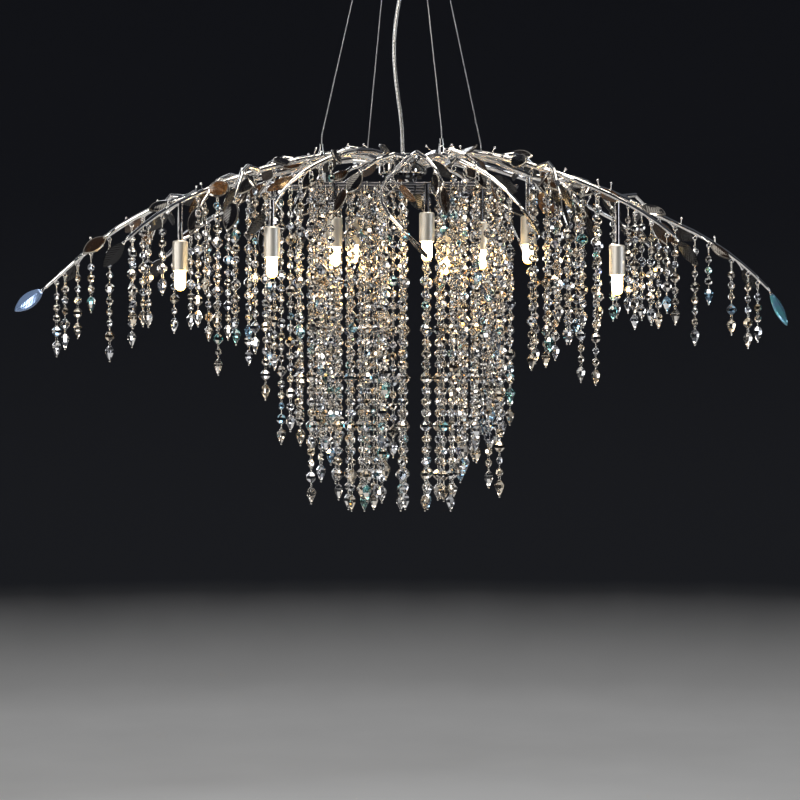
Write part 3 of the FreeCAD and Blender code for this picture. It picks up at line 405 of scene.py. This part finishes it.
def wire_ring(radius_across, radius_along, wire, around, across):
    """A closed wire ring that stands in the XZ plane."""
    ring = bmesh.new()
    upright = Matrix.Translation((1, 0, 0)) @ Matrix.Rotation(math.pi / 2, 4, "X")
    section = bmesh.ops.create_circle(ring, segments=across, radius=wire, matrix=upright)
    edges = list(ring.edges)
    bmesh.ops.spin(ring, geom=section["verts"] + edges, axis=(0, 0, 1), cent=(0, 0, 0),
                   angle=math.tau, steps=around, use_merge=True)
    bmesh.ops.remove_doubles(ring, verts=ring.verts, dist=1e-7)
    for v in ring.verts:
        out = Vector((v.co.x, v.co.y, 0))
        from_wire = out.length - 1
        out.normalize()
        v.co = Vector((out.x * (radius_across + from_wire), v.co.z, out.y * (radius_along + from_wire)))
    bmesh.ops.recalc_face_normals(ring, faces=ring.faces)
    for face in ring.faces:
        face.smooth = True
    return ring


def cut_bead(width, height, thick):
    """An eight-sided bead with two rows of facets and a flat table on each face."""
    bead = bmesh.new()
    turn = Matrix.Rotation(math.pi / 8, 4, "Z")
    bmesh.ops.create_circle(bead, segments=8, radius=0.5 / math.cos(math.pi / 8), matrix=turn)
    edges = list(bead.edges)
    for size, level in ((1.0, 0.10), (0.80, 0.30), (0.46, 0.5)):
        rise = bmesh.ops.extrude_edge_only(bead, edges=edges)["geom"]
        corners = [g for g in rise if isinstance(g, bmesh.types.BMVert)]
        edges = [g for g in rise if isinstance(g, bmesh.types.BMEdge)]
        for v in corners:
            flat = Vector((v.co.x, v.co.y)).normalized() * size * 0.5 / math.cos(math.pi / 8)
            v.co = (flat.x, flat.y, level)
        if size == 0.80:
            bmesh.ops.rotate(bead, verts=corners, cent=(0, 0, 0), matrix=Matrix.Rotation(math.pi / 8, 3, "Z"))
    bmesh.ops.contextual_create(bead, geom=edges)
    bmesh.ops.mirror(bead, geom=bead.verts[:] + bead.edges[:] + bead.faces[:], merge_dist=1e-5, axis="Z")
    bmesh.ops.remove_doubles(bead, verts=bead.verts, dist=1e-5)
    bmesh.ops.triangulate(bead, faces=[f for f in bead.faces if len(f.verts) == 4])
    bmesh.ops.transform(bead, verts=bead.verts, matrix=Matrix.Rotation(math.pi / 2, 4, "X"))
    bmesh.ops.scale(bead, verts=bead.verts, vec=(width, thick, height))
    bmesh.ops.recalc_face_normals(bead, faces=bead.faces)
    return bead


def round_bead(width, height):
    """A round bead cut in eight columns of facets."""
    half = width / 2
    tall = height / 2
    return spun([(0, tall), (half * 0.5, tall * 0.76), (half, tall * 0.26), (half, -tall * 0.26),
                 (half * 0.5, -tall * 0.76), (0, -tall)], 8)


def pear_drop(width, height):
    """A pear drop with eight sides, from its top point at height 0 to its tip."""
    half = width / 2
    return spun([(0, 0), (half * 0.45, -height * 0.06), (half, -height * 0.30), (half * 0.92, -height * 0.52),
                 (half * 0.55, -height * 0.80), (half * 0.22, -height), (0, -height)], 8)


def stored(name, shell):
    mesh = bpy.data.meshes.new(name)
    shell.to_mesh(mesh)
    shell.free()
    return mesh


small_cut = stored("small_cut", cut_bead(BEAD_WIDTH, BEAD_HEIGHT, BEAD_THICK))
large_cut = stored("large_cut", round_bead(LARGE_WIDTH, LARGE_HEIGHT))
drop_cut = stored("drop_cut", pear_drop(DROP_WIDTH, DROP_HEIGHT))
pin_cut = stored("pin_cut", spun([(0, 0.001), (PIN_R, 0.001), (PIN_R, -PIN_LENGTH * 0.35),
                                  (PIN_HEAD_R, -PIN_LENGTH * 0.6), (0.0011, -PIN_LENGTH * 0.9),
                                  (0, -PIN_LENGTH)], 8))
link_ring = stored("link_ring", wire_ring(LINK_R, LINK_LENGTH / 2 + LINK_GRIP, LINK_WIRE_R, 10, 5))
top_ring = stored("top_ring", wire_ring(RING_R, RING_R, RING_WIRE_R, 18, 6))


def solids_of(node):
    """The corner points of each separate solid in a CAD node, one array for each."""
    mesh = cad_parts[node].data
    spots = np.empty(len(mesh.vertices) * 3, dtype=np.float32)
    mesh.vertices.foreach_get("co", spots)
    corners = np.empty(len(mesh.loops), dtype=np.int32)
    mesh.loops.foreach_get("vertex_index", corners)
    steps = np.round(spots.reshape(-1, 3).astype(np.float64) * 5e5).astype(np.int64) + (1 << 20)
    keys, first, same = np.unique((steps[:, 0] << 42) + (steps[:, 1] << 21) + steps[:, 2],
                                  return_index=True, return_inverse=True)
    faces = same[corners].reshape(-1, 3)
    label = np.arange(len(keys))
    while True:
        least = label[faces].min(axis=1)
        joined = label.copy()
        for corner in range(3):
            np.minimum.at(joined, faces[:, corner], least)
        joined = joined[joined]
        if np.array_equal(joined, label):
            break
        label = joined
    places = spots.reshape(-1, 3)[first].astype(np.float64)
    return [places[label == name] for name in np.unique(label)]


def add_part(strand, part, matrix, finish, tone_value, mirror_every=0):
    """Puts a copy of a stored part into a strand; some of its facets may be mirrors."""
    first_vert = len(strand.verts)
    first_face = len(strand.faces)
    strand.from_mesh(part)
    strand.verts.ensure_lookup_table()
    strand.faces.ensure_lookup_table()
    bmesh.ops.transform(strand, verts=strand.verts[first_vert:], matrix=matrix)
    tone_layer = strand.faces.layers.float["tone"]
    for number, face in enumerate(strand.faces[first_face:]):
        mirror = mirror_every and (number * 5) % mirror_every == 0
        face.material_index = 3 if mirror else finish
        face[tone_layer] = tone_value


def add_strand(shell, points, number):
    """One strand in the place of its CAD solid."""
    top = points[:, 2].max()
    foot = points[:, 2].min()
    low_points = points[points[:, 2] < top - 3 * RING_R]
    x, y = (low_points[:, :2].min(axis=0) + low_points[:, :2].max(axis=0)) / 2
    ring_points = points[points[:, 2] > top - 1.4 * RING_R]
    off = ring_points[:, :2] - (x, y)
    widest = off[np.argmax((off ** 2).sum(axis=1))]
    facing = math.atan2(widest[1], widest[0])

    def at(z, turn):
        return Matrix.Translation((x, y, z)) @ Matrix.Rotation(turn, 4, "Z")

    strand = bmesh.new()
    strand.faces.layers.float.new("tone")
    z = top - RING_WIRE_R
    add_part(strand, top_ring, at(z - RING_R, facing), 2, 0.0)
    z -= 2 * RING_R - RING_WIRE_R
    drop_room = DROP_HEIGHT + PIN_LENGTH + LINK_LENGTH
    place = 0
    while z - foot > drop_room + MOST_SLACK:
        turn = number * 1.9 + place * 2.4
        add_part(strand, link_ring, at(z - LINK_LENGTH / 2, turn + 0.8), 2, 0.0)
        z -= LINK_LENGTH
        large = place % LARGE_EVERY == LARGE_EVERY - 1
        height = LARGE_HEIGHT if large else BEAD_HEIGHT
        mark = (number * 7 + place * 5) % 17
        coated = mark in (4, 9) if large else mark == 4
        add_part(strand, large_cut if large else small_cut, at(z - height / 2, turn), 1 if coated else 0,
                 ((number * 3 + place * 7) % 11) / 10, 4 if mark % 3 else 3)
        z -= height
        place += 1
    add_part(strand, link_ring, at(z - LINK_LENGTH / 2, number), 2, 0.0)
    z -= LINK_LENGTH
    add_part(strand, drop_cut, at(z, number * 0.7), 1 if number % 6 == 2 else 0, (number % 4) / 4, 4)
    add_part(strand, pin_cut, at(z - DROP_HEIGHT, 0), 2, 0.0)
    whole = stored("strand", strand)
    shell.from_mesh(whole)
    bpy.data.meshes.remove(whole)


strand_nodes = sorted(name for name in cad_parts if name.startswith("strands_"))
strand_number = 0
for node in strand_nodes:
    shell = bmesh.new()
    shell.faces.layers.float.new("tone")
    for points in solids_of(node):
        strand_number += 1
        add_strand(shell, points, strand_number)
    mesh = made_mesh("crystals_" + node[8:], shell, [crystal, coated_crystal, link_metal, mirror_facet], 0)
    piece("crystals_" + node[8:], mesh, node, "clear_crystal", node)


# Glass leaves
# Leaves of smoky pressed glass with a polished bevel, a midrib and fine side veins, from near black to amber,
# cemented into the cups of the twigs. The bevel is given a bright, near-mirror metal finish: a painted
# highlight round the edge of each leaf. Those at the tips of the two long arms have a pearly blue coat.
def veins(finish):
    """The height of a leaf's side veins, which slant from the midrib to the rim."""
    return (58.0 * (finish.own("along") - 0.55 * finish.own("across").size())).wave()


smoky_glass = Finish("smoky_glass", Transmission_Weight=0.4, IOR=1.55)
streak = smoky_glass.noise(140.0, 3.0)
smoky_glass.set(Base_Color=smoky_glass.ramp(smoky_glass.own("tone") + 0.35 * (streak - 0.5),
                                            [(0.0, (0.006, 0.006, 0.008)), (0.55, (0.016, 0.013, 0.013)),
                                             (0.75, (0.045, 0.022, 0.010)), (0.88, (0.20, 0.085, 0.024)),
                                             (1.0, (0.42, 0.22, 0.08))]),
                Roughness=0.02 + 0.05 * streak)
smoky_glass.bump(veins(smoky_glass), 0.22, 0.0004)
bevel_highlight = Finish("bevel_highlight", Metallic=0.85)
cut = bevel_highlight.noise(120.0, 2.0)
# Bright cream metal on the bevel stands in for the glass edge's shine: a painted highlight.
bevel_highlight.set(Base_Color=bevel_highlight.mixed(cut, (0.52, 0.49, 0.46), (0.95, 0.89, 0.78)),
                Roughness=0.10 + 0.16 * cut)
pearl_glass = Finish("pearl_glass", Metallic=0.45, Coat_Weight=1.0, Coat_Roughness=0.05)
sheen_place = pearl_glass.own("tone") + 0.35 * pearl_glass.noise(60.0, 2.0)
pearl_glass.set(Base_Color=pearl_glass.ramp(sheen_place, [
    (0.0, (0.20, 0.33, 0.62)), (0.4, (0.34, 0.48, 0.78)), (0.8, (0.25, 0.24, 0.62)),
    (1.0, (0.16, 0.55, 0.62))]), Roughness=0.16 + 0.12 * pearl_glass.noise(200.0, 2.0))
pearl_glass.bump(veins(pearl_glass), 0.06, 0.0003)


def pressed_leaf():
    """A leaf one unit long and one wide, flat below, with a narrow bevel round a raised face."""
    leaf = bmesh.new()
    bmesh.ops.create_circle(leaf, segments=24, radius=0.5, matrix=Matrix.Translation((0.5, 0, 0)))
    for v in leaf.verts:
        half = 0.5 * math.sin(math.pi * min(1.0, 0.07 + 0.93 * v.co.x)) ** 0.75
        v.co.y = math.copysign(half, v.co.y) if abs(v.co.y) > 1e-4 else 0.0
    base = list(leaf.edges)
    edges = base
    for shorter, narrower, level in ((1.0, 1.0, 0.34), (0.90, 0.84, 0.62), (0.97, 0.5, 0.82)):
        rise = bmesh.ops.extrude_edge_only(leaf, edges=edges)["geom"]
        edges = [g for g in rise if isinstance(g, bmesh.types.BMEdge)]
        for v in [g for g in rise if isinstance(g, bmesh.types.BMVert)]:
            v.co = (0.5 + (v.co.x - 0.5) * shorter, v.co.y * narrower, level)
    rise = bmesh.ops.extrude_edge_only(leaf, edges=edges)["geom"]
    for v in [g for g in rise if isinstance(g, bmesh.types.BMVert)]:
        v.co = (0.5 + (v.co.x - 0.5) * 0.97, 0, 1.0)
    bmesh.ops.remove_doubles(leaf, verts=leaf.verts, dist=1e-4)
    bmesh.ops.contextual_create(leaf, geom=base)
    bmesh.ops.recalc_face_normals(leaf, faces=leaf.faces)
    return leaf


leaf_cut = stored("leaf_cut", pressed_leaf())


def leaf_placing(points):
    """The matrix that lays the pressed leaf in the place of one CAD leaf.

    The two points furthest out are the pointed end's lower and upper corners."""
    middle = points.mean(axis=0)
    out = np.linalg.norm(points - middle, axis=1)
    low_tip = points[np.argmax(out)]
    from_tip = np.linalg.norm(points - low_tip, axis=1)
    high_tip = points[np.argsort(from_tip)[1]]
    rise = high_tip - low_tip
    if ((points - low_tip) @ rise).max() < 1.05 * (rise @ rise):
        low_tip, high_tip, rise = high_tip, low_tip, -rise
    up = rise / np.linalg.norm(rise)
    flat = points[np.abs((points - low_tip) @ up) < 0.2 * np.linalg.norm(rise)]
    foot = flat[np.argsort((flat - low_tip) @ (low_tip - middle))[:2]].mean(axis=0)
    way = low_tip - foot
    length = np.linalg.norm(way)
    side = np.cross(up, way / length)
    half = np.abs((points - foot) @ side).max()
    placing = np.eye(4)
    placing[:3, 0] = way
    placing[:3, 1] = side * 2 * half
    placing[:3, 2] = up * ((points - foot) @ up).max()
    placing[:3, 3] = foot
    return Matrix(placing)


LONG_ARM_TIP = 0.46
leaf_number = 0
for node in ("leaves_left", "leaves_right", "leaves_front", "leaves_back"):
    shell = bmesh.new()
    tone_layer = shell.faces.layers.float.new("tone")
    along_layer = shell.verts.layers.float.new("along")
    across_layer = shell.verts.layers.float.new("across")
    for points in solids_of(node):
        leaf_number += 1
        placing = leaf_placing(points)
        first_vert = len(shell.verts)
        first_face = len(shell.faces)
        shell.from_mesh(leaf_cut)
        shell.verts.ensure_lookup_table()
        shell.faces.ensure_lookup_table()
        x = placing.translation.x
        at_tip = abs(x) > LONG_ARM_TIP
        if at_tip:
            tone_value = 0.0 if x < 0 else 0.75
        else:
            tone_value = (leaf_number * 5 % 9) / 9
        for face in shell.faces[first_face:]:
            height = face.calc_center_median().z
            # Faces in the bevel band take the bright metal finish, a painted highlight along the leaf's edge.
            bevelled = 0.40 < height < 0.56
            face.material_index = 2 if at_tip else (1 if bevelled else 0)
            face[tone_layer] = tone_value
        for v in shell.verts[first_vert:]:
            v[along_layer] = v.co.x
            v[across_layer] = v.co.y
        bmesh.ops.transform(shell, verts=shell.verts[first_vert:], matrix=placing)
    mesh = made_mesh("glass_" + node, shell, [smoky_glass, bevel_highlight, pearl_glass], 0)
    piece("glass_" + node, mesh, "frame", "smoky_glass", node)


# Lamps
# Nine lamps: a satin silver cup on a stem, a white ceramic holder inside it, and a two-pin
# capsule bulb that pushes up into the holder and glows warm.
satin_silver = Finish("satin_silver", Metallic=1.0)
turned = satin_silver.noise(300.0, 2.0, (1, 1, 0.05))
satin_silver.set(Base_Color=satin_silver.mixed(turned, (0.93, 0.88, 0.79), (0.99, 0.96, 0.89)),
                 Roughness=0.42 + 0.12 * turned)
dressed(satin_silver, "lamp_cups")
polished_chrome = Finish("polished_chrome", Metallic=1.0)
shine = polished_chrome.noise(35.0, 2.0)
polished_chrome.set(Base_Color=polished_chrome.mixed(shine, (0.78, 0.77, 0.76), (0.88, 0.87, 0.84)),
                    Roughness=0.04 + 0.08 * shine)
polished_chrome.bump(polished_chrome.noise(600.0, 1.0), 0.04, 0.0003)
dressed(polished_chrome, "hub_cup", "hub_lid", "canopy", "canopy_cap_nuts",
        "cable_grippers", "cable_ferrules", "gripper_sleeve_1", "gripper_sleeve_2",
        "gripper_sleeve_3", "gripper_sleeve_4")

holder_ceramic = Finish("holder_ceramic", Base_Color=(0.86, 0.85, 0.82), Specular_IOR_Level=0.5)
holder_ceramic.set(Roughness=0.35 + 0.2 * holder_ceramic.noise(300.0, 2.0))
dressed(holder_ceramic, "lamp_sockets")

bulb_glass = Finish("bulb_glass", Roughness=0.15, Base_Color=(0.95, 0.92, 0.86), Emission_Strength=28.0)
down = bulb_glass.own("tone")
bulb_glass.set(Emission_Color=bulb_glass.ramp(down, [(0.0, (0.06, 0.025, 0.001)), (0.25, (0.80, 0.44, 0.02)),
                                                     (0.5, (1.0, 0.74, 0.40)), (0.75, (1.0, 0.68, 0.30)),
                                                     (1.0, (0.35, 0.17, 0.005))]))
BASE_R = 0.0056
BASE_LENGTH = 0.011
BASE_EDGE = 0.0006
BULB_SHOULDER = 0.0025
for number in range(1, 10):
    low_corner, high_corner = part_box(f"bulb_{number}")
    x = (low_corner.x + high_corner.x) / 2
    y = (low_corner.y + high_corner.y) / 2
    glass_r = (high_corner.x - low_corner.x) / 2
    glass_top = high_corner.z - BASE_LENGTH
    foot = low_corner.z
    profile = [(0, high_corner.z), (BASE_R - BASE_EDGE, high_corner.z), (BASE_R, high_corner.z - BASE_EDGE),
               (BASE_R, glass_top), (glass_r, glass_top - BULB_SHOULDER)]
    dome = foot + glass_r
    profile += [(glass_r * math.cos(math.radians(a)), dome - glass_r * math.sin(math.radians(a)))
                for a in range(0, 91, 15)]
    shell = spun(profile, 24)
    bmesh.ops.translate(shell, verts=shell.verts, vec=(x, y, 0))
    share = shell.faces.layers.float.new("tone")
    for face in shell.faces:
        middle = face.calc_center_median()
        face.material_index = 0 if middle.z < glass_top else 1
        face[share] = (glass_top - middle.z) / (glass_top - foot)
    mesh = made_mesh(f"capsule_bulb_{number}", shell, [bulb_glass, holder_ceramic], 40)
    piece(f"capsule_bulb_{number}", mesh, f"bulb_{number}", "bulb_glass", f"bulb_{number}")


# Ceiling fixings
# A zinc-plated strap screwed to the ceiling, with studs for the canopy, the screws of the
# hub, the hexagon nuts, and a white terminal block; the cord's bushes are clear nylon.
zinc_steel = Finish("zinc_steel", Metallic=1.0)
spangle = zinc_steel.node("ShaderNodeTexVoronoi", {}, {"Vector": zinc_steel.place(), "Scale": 160.0})
zinc_steel.set(Base_Color=zinc_steel.mixed(spangle, (0.52, 0.53, 0.55), (0.66, 0.67, 0.68)),
               Roughness=0.30 + 0.2 * spangle)
dressed(zinc_steel, "ceiling_bracket", "gripper_nuts", "hub_screws", "lamp_nuts")
white_nylon = Finish("white_nylon", Base_Color=(0.82, 0.82, 0.79))
white_nylon.set(Roughness=0.42 + 0.15 * white_nylon.noise(400.0, 2.0))
dressed(white_nylon, "terminal_block")
clear_nylon = Finish("clear_nylon", Base_Color=(0.86, 0.87, 0.86), Transmission_Weight=0.85, IOR=1.5)
clear_nylon.set(Roughness=0.18 + 0.1 * clear_nylon.noise(300.0, 2.0))
dressed(clear_nylon, "cord_bushes")


for part in (small_cut, large_cut, drop_cut, pin_cut, link_ring, top_ring, leaf_cut):
    bpy.data.meshes.remove(part)
